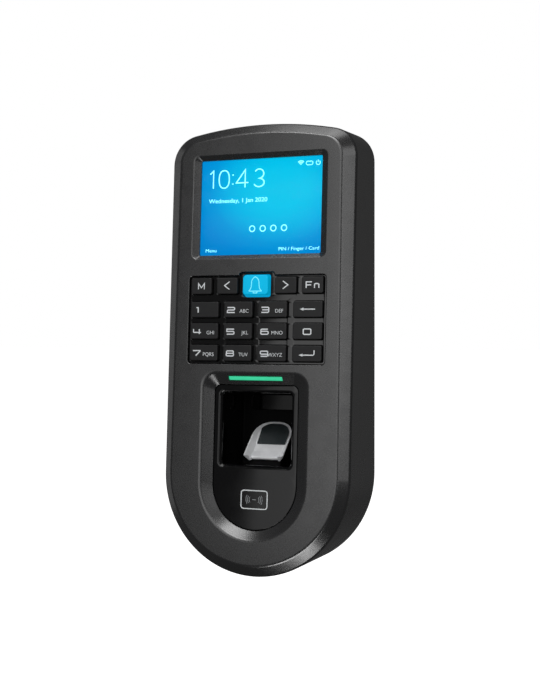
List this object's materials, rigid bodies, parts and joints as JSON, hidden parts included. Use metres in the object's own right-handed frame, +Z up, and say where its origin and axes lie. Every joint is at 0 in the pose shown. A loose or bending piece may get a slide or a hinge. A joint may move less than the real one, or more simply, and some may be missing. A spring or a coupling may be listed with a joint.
{
  "type": "fingerprint scanner terminal",
  "caption": "Wall-mounted access terminal with colour screen, keypad, optical fingerprint reader in a finger well, card reader and steel wall plate.",
  "frame": {"origin": "on the wall, at the middle of the terminal's width and height, on the back face of the wall plate", "axes": "+X to the right seen from the front, +Y into the wall, +Z up"},
  "size_m": [0.08, 0.0397, 0.18],
  "materials": {
    "shell": "satin moulded ABS with a very fine texture, dark grey",
    "rear_plastic": "fine matte moulded plastic, black",
    "key_plastic": "satin, dark grey",
    "bell_key": "backlit satin cyan",
    "keypad_web": "glossy black",
    "gloss_black": "polished piano black",
    "silver": "bright silver plating on plastic, faint hatch on the finger rest",
    "platen_glass": "dark polished optical glass",
    "screen_glass": "clear polished cover",
    "display": "lit colour display",
    "led_green": "lit translucent light bar",
    "circuit_board": "solder mask",
    "silicone": "soft matte",
    "chip_black": "moulded",
    "terminal_green": "moulded",
    "nickel": "bright nickel plating",
    "steel": "zinc plated, fine grain"
  },
  "bodies": {
    "housing": {"front_shell": "shell", "rear_shell": "rear_plastic", "wall_plate": "steel", "keypad_panel": "keypad_web", "keypad_mat": "silicone", "keypad_board": "circuit_board", "screen_lens": "screen_glass", "lcd_panel": "display", "lcd_bracket": "steel", "reader_fascia": "gloss_black", "sensor_well": "gloss_black", "well_window": "gloss_black", "finger_guide": "silver", "sensor_platen": "platen_glass", "sensor_module": "chip_black", "sensor_board": "circuit_board", "led_light_guide": "led_green", "led_board": "circuit_board", "card_antenna": "circuit_board", "main_board": "circuit_board", "processor": "chip_black", "relay": "chip_black", "coin_cell": "steel", "buzzer": "chip_black", "network_socket": "nickel", "terminal_power": "terminal_green", "terminal_signal": "terminal_green", "tamper_switch": "chip_black", "lock_screw": "steel", "housing_screw_1": "steel", "board_screw_1": "steel", "housing_screw_2": "steel", "board_screw_2": "steel", "housing_screw_3": "steel", "board_screw_3": "steel", "housing_screw_4": "steel", "board_screw_4": "steel"},
    "key_menu": {"key_menu": "key_plastic"},
    "key_left": {"key_left": "key_plastic"},
    "key_bell": {"key_bell": "bell_key"},
    "key_right": {"key_right": "key_plastic"},
    "key_function": {"key_function": "key_plastic"},
    "key_1": {"key_1": "key_plastic"},
    "key_2": {"key_2": "key_plastic"},
    "key_3": {"key_3": "key_plastic"},
    "key_4": {"key_4": "key_plastic"},
    "key_5": {"key_5": "key_plastic"},
    "key_6": {"key_6": "key_plastic"},
    "key_7": {"key_7": "key_plastic"},
    "key_8": {"key_8": "key_plastic"},
    "key_9": {"key_9": "key_plastic"},
    "key_0": {"key_0": "key_plastic"},
    "key_back": {"key_back": "key_plastic"},
    "key_enter": {"key_enter": "key_plastic"},
    "tamper_plunger": {"tamper_plunger": "silicone"}
  },
  "joints": [
    {"name": "key_menu_press", "type": "slide", "parent": "housing", "child": "key_menu", "axis": [0, 0.9977, -0.0679], "range_m": [0, 0.0008], "stiffness_N_per_m": 400, "springref_m": -0.0004},
    {"name": "key_left_press", "type": "slide", "parent": "housing", "child": "key_left", "axis": [0, 0.9977, -0.0679], "range_m": [0, 0.0008], "stiffness_N_per_m": 400, "springref_m": -0.0004},
    {"name": "key_bell_press", "type": "slide", "parent": "housing", "child": "key_bell", "axis": [0, 0.9977, -0.0679], "range_m": [0, 0.0008], "stiffness_N_per_m": 400, "springref_m": -0.0004},
    {"name": "key_right_press", "type": "slide", "parent": "housing", "child": "key_right", "axis": [0, 0.9977, -0.0679], "range_m": [0, 0.0008], "stiffness_N_per_m": 400, "springref_m": -0.0004},
    {"name": "key_function_press", "type": "slide", "parent": "housing", "child": "key_function", "axis": [0, 0.9977, -0.0679], "range_m": [0, 0.0008], "stiffness_N_per_m": 400, "springref_m": -0.0004},
    {"name": "key_1_press", "type": "slide", "parent": "housing", "child": "key_1", "axis": [0, 0.9977, -0.0679], "range_m": [0, 0.0008], "stiffness_N_per_m": 400, "springref_m": -0.0004},
    {"name": "key_2_press", "type": "slide", "parent": "housing", "child": "key_2", "axis": [0, 0.9977, -0.0679], "range_m": [0, 0.0008], "stiffness_N_per_m": 400, "springref_m": -0.0004},
    {"name": "key_3_press", "type": "slide", "parent": "housing", "child": "key_3", "axis": [0, 0.9977, -0.0679], "range_m": [0, 0.0008], "stiffness_N_per_m": 400, "springref_m": -0.0004},
    {"name": "key_4_press", "type": "slide", "parent": "housing", "child": "key_4", "axis": [0, 0.9977, -0.0679], "range_m": [0, 0.0008], "stiffness_N_per_m": 400, "springref_m": -0.0004},
    {"name": "key_5_press", "type": "slide", "parent": "housing", "child": "key_5", "axis": [0, 0.9977, -0.0679], "range_m": [0, 0.0008], "stiffness_N_per_m": 400, "springref_m": -0.0004},
    {"name": "key_6_press", "type": "slide", "parent": "housing", "child": "key_6", "axis": [0, 0.9977, -0.0679], "range_m": [0, 0.0008], "stiffness_N_per_m": 400, "springref_m": -0.0004},
    {"name": "key_7_press", "type": "slide", "parent": "housing", "child": "key_7", "axis": [0, 0.9977, -0.0679], "range_m": [0, 0.0008], "stiffness_N_per_m": 400, "springref_m": -0.0004},
    {"name": "key_8_press", "type": "slide", "parent": "housing", "child": "key_8", "axis": [0, 0.9977, -0.0679], "range_m": [0, 0.0008], "stiffness_N_per_m": 400, "springref_m": -0.0004},
    {"name": "key_9_press", "type": "slide", "parent": "housing", "child": "key_9", "axis": [0, 0.9977, -0.0679], "range_m": [0, 0.0008], "stiffness_N_per_m": 400, "springref_m": -0.0004},
    {"name": "key_0_press", "type": "slide", "parent": "housing", "child": "key_0", "axis": [0, 0.9977, -0.0679], "range_m": [0, 0.0008], "stiffness_N_per_m": 400, "springref_m": -0.0004},
    {"name": "key_back_press", "type": "slide", "parent": "housing", "child": "key_back", "axis": [0, 0.9977, -0.0679], "range_m": [0, 0.0008], "stiffness_N_per_m": 400, "springref_m": -0.0004},
    {"name": "key_enter_press", "type": "slide", "parent": "housing", "child": "key_enter", "axis": [0, 0.9977, -0.0679], "range_m": [0, 0.0008], "stiffness_N_per_m": 400, "springref_m": -0.0004},
    {"name": "tamper_press", "type": "slide", "parent": "housing", "child": "tamper_plunger", "axis": [0, -1, 0], "range_m": [0, 0.0012], "stiffness_N_per_m": 300, "springref_m": -0.0005}
  ]
}
